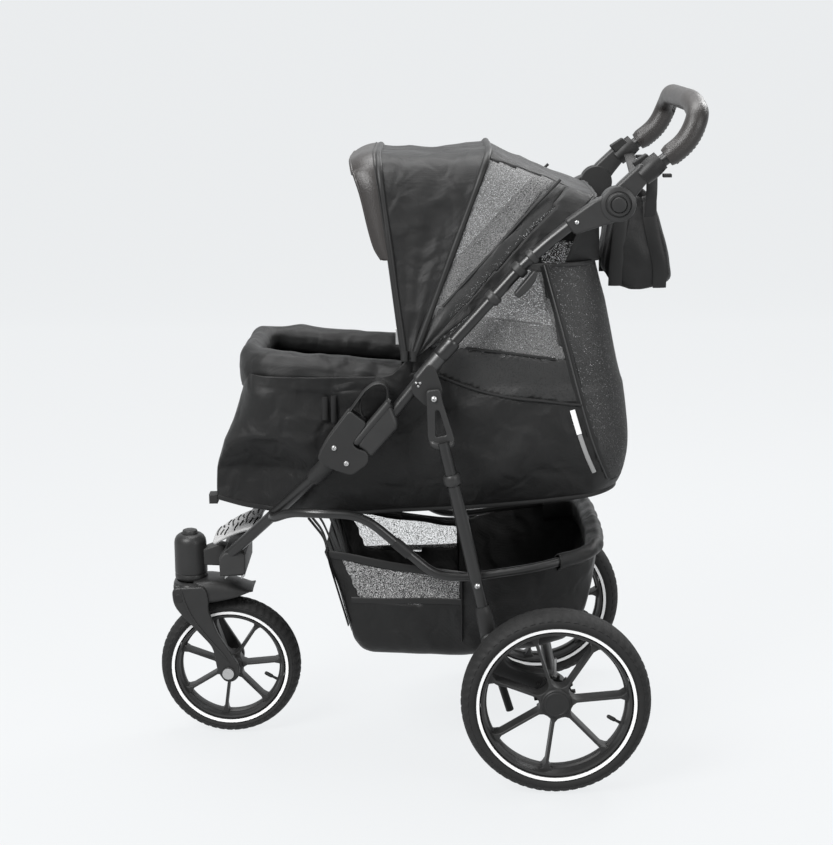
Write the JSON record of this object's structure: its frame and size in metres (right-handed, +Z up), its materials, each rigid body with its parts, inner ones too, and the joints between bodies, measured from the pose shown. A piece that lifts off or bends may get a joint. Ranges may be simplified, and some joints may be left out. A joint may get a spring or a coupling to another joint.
{
  "type": "pet stroller",
  "caption": "Folding pet stroller with a swivelling front wheel, zipped cloth cabin with open front, folding hood, under-basket, foot brake and a tilting padded handle with an organiser bag.",
  "frame": {"origin": "on the ground, at the middle of the stroller's footprint", "axes": "+Z up, -Y ahead towards the front wheel, +X towards the stroller's left side"},
  "size_m": [0.588, 0.8948, 1.1029],
  "materials": {
    "black_tube": "black powder coat, satin",
    "black_bracket": "black powder coat",
    "steel": "zinc plated",
    "hard_plastic": "moulded, fine grain",
    "grey_plastic": "moulded, ribbed",
    "rim_plastic": "moulded, satin",
    "tyre": "rubber with a fine tread",
    "black_cloth": "tight woven polyester",
    "net_cloth": "fine grey net",
    "mat": "quilted pad",
    "grip": "stitched synthetic leather"
  },
  "bodies": {
    "front_frame": {"lower_tube_left": "black_tube", "lower_tube_right": "black_tube", "fold_clevis_left": "hard_plastic", "fold_clevis_right": "hard_plastic", "fold_bolt_left": "steel", "fold_bolt_right": "steel", "front_casting": "hard_plastic", "steering_head": "hard_plastic", "step_plate": "grey_plastic"},
    "fork": {"fork": "hard_plastic", "front_axle": "steel", "mudguard": "hard_plastic"},
    "front_wheel": {"front_tyre": "tyre", "front_rim": "rim_plastic"},
    "swivel_lock": {"swivel_lock_button": "hard_plastic"},
    "upper_frame": {"side_tube_left": "black_tube", "side_tube_right": "black_tube", "fold_tongue_left": "hard_plastic", "fold_tongue_right": "hard_plastic", "leg_bracket_left": "black_bracket", "leg_bracket_right": "black_bracket", "handle_arm_left": "black_tube", "handle_arm_right": "black_tube", "hood_back_panel": "black_cloth", "hood_rear_panel": "net_cloth"},
    "fold_trigger_left": {"fold_trigger_left": "hard_plastic"},
    "fold_trigger_right": {"fold_trigger_right": "hard_plastic"},
    "handle": {"handle_bar": "black_tube", "handle_grip": "grip", "organiser_bag": "black_cloth"},
    "tilt_button_left": {"tilt_button_left": "hard_plastic"},
    "tilt_button_right": {"tilt_button_right": "hard_plastic"},
    "rear_legs": {"rear_leg_left": "black_tube", "rear_leg_right": "black_tube", "leg_foot_left": "hard_plastic", "leg_foot_right": "hard_plastic", "rear_axle": "black_tube"},
    "brake_pedal": {"brake_pedal": "hard_plastic"},
    "brake_pin_left": {"brake_pin_left": "steel"},
    "brake_pin_right": {"brake_pin_right": "steel"},
    "rear_wheel_left": {"rear_tyre_left": "tyre", "rear_rim_left": "rim_plastic", "hub_cap_left": "hard_plastic", "brake_ring_left": "hard_plastic"},
    "rear_wheel_right": {"rear_tyre_right": "tyre", "rear_rim_right": "rim_plastic", "hub_cap_right": "hard_plastic", "brake_ring_right": "hard_plastic"},
    "basket_rail": {"basket_rail": "black_tube", "basket": "black_cloth", "cabin_shell": "black_cloth", "floor_board": "hard_plastic", "floor_mat": "mat"},
    "cabin_rim": {"rim_hoop": "black_tube", "cover_roll": "black_cloth"},
    "hood_front": {"front_bow": "black_tube", "hood_peak": "black_cloth", "hood_front_panel": "black_cloth"},
    "hood_middle": {"middle_bow": "black_tube"}
  },
  "joints": [
    {"name": "fold", "type": "hinge", "parent": "front_frame", "child": "upper_frame", "pos_m": [0, -0.11575, 0.545], "axis": [-1, 0, 0], "range_deg": [0, 110]},
    {"name": "basket_rail_fold", "type": "hinge", "parent": "front_frame", "child": "basket_rail", "pos_m": [0, -0.23354, 0.42194], "axis": [-1, 0, 0], "range_deg": [0, 67.2], "deforming": ["cabin_shell", "basket"]},
    {"name": "leg_fold", "type": "hinge", "parent": "upper_frame", "child": "rear_legs", "pos_m": [0, 0.03325, 0.637], "axis": [1, 0, 0], "range_deg": [0, 78.2]},
    {"name": "rim_fold", "type": "hinge", "parent": "upper_frame", "child": "cabin_rim", "pos_m": [0, -0.01775, 0.661], "axis": [1, 0, 0], "range_deg": [0, 43]},
    {"name": "hood", "type": "hinge", "parent": "upper_frame", "child": "hood_middle", "pos_m": [0, -0.00575, 0.69], "axis": [-1, 0, 0], "range_deg": [0, 20.3], "deforming": ["hood_front_panel", "hood_rear_panel"]},
    {"name": "hood_front_bow", "type": "hinge", "parent": "hood_middle", "child": "hood_front", "pos_m": [0, -0.00575, 0.69], "axis": [-1, 0, 0], "range_deg": [0, 24.8]},
    {"name": "handle_tilt", "type": "hinge", "parent": "upper_frame", "child": "handle", "pos_m": [0, 0.32025, 0.938], "axis": [1, 0, 0], "range_deg": [-25, 40], "deforming": ["organiser_bag"]},
    {"name": "tilt_button_left_press", "type": "slide", "parent": "handle", "child": "tilt_button_left", "axis": [-1, 0, 0], "range_m": [0, 0.004], "stiffness_N_per_m": 900},
    {"name": "tilt_button_right_press", "type": "slide", "parent": "handle", "child": "tilt_button_right", "axis": [1, 0, 0], "range_m": [0, 0.004], "stiffness_N_per_m": 900},
    {"name": "fold_trigger_left_pull", "type": "slide", "parent": "upper_frame", "child": "fold_trigger_left", "axis": [0, 0.682, 0.7314], "range_m": [0, 0.008], "stiffness_N_per_m": 700},
    {"name": "fold_trigger_right_pull", "type": "slide", "parent": "upper_frame", "child": "fold_trigger_right", "axis": [0, 0.682, 0.7314], "range_m": [0, 0.008], "stiffness_N_per_m": 700},
    {"name": "swivel_lock_press", "type": "slide", "parent": "front_frame", "child": "swivel_lock", "axis": [0, 0, -1], "range_m": [0, 0.004], "stiffness_N_per_m": 900},
    {"name": "steer", "type": "hinge", "parent": "front_frame", "child": "fork", "pos_m": [0, -0.38875, 0.3], "axis": [0, 0, 1], "continuous": true},
    {"name": "front_wheel_spin", "type": "hinge", "parent": "fork", "child": "front_wheel", "pos_m": [0, -0.32475, 0.122], "axis": [1, 0, 0], "continuous": true},
    {"name": "rear_wheel_left_spin", "type": "hinge", "parent": "rear_legs", "child": "rear_wheel_left", "pos_m": [0.267, 0.22425, 0.1525], "axis": [1, 0, 0], "continuous": true},
    {"name": "rear_wheel_right_spin", "type": "hinge", "parent": "rear_legs", "child": "rear_wheel_right", "pos_m": [-0.267, 0.22425, 0.1525], "axis": [1, 0, 0], "continuous": true},
    {"name": "brake_press", "type": "hinge", "parent": "rear_legs", "child": "brake_pedal", "pos_m": [0, 0.14025, 0.1535], "axis": [-1, 0, 0], "range_deg": [0, 20]},
    {"name": "brake_pin_left_drop", "type": "slide", "parent": "rear_legs", "child": "brake_pin_left", "axis": [0, 0, -1], "range_m": [0, 0.0052]},
    {"name": "brake_pin_right_drop", "type": "slide", "parent": "rear_legs", "child": "brake_pin_right", "axis": [0, 0, -1], "range_m": [0, 0.0052]}
  ],
  "couplings": [
    {"joint": "basket_rail_fold", "follows": "fold", "ratio": 0.61},
    {"joint": "leg_fold", "follows": "fold", "ratio": 0.71},
    {"joint": "rim_fold", "follows": "fold", "ratio": 0.39},
    {"joint": "hood_front_bow", "follows": "hood", "ratio": 1.22},
    {"joint": "brake_pin_left_drop", "follows": "brake_press", "m_per_rad": 0.0143},
    {"joint": "brake_pin_right_drop", "follows": "brake_press", "m_per_rad": 0.0143}
  ]
}
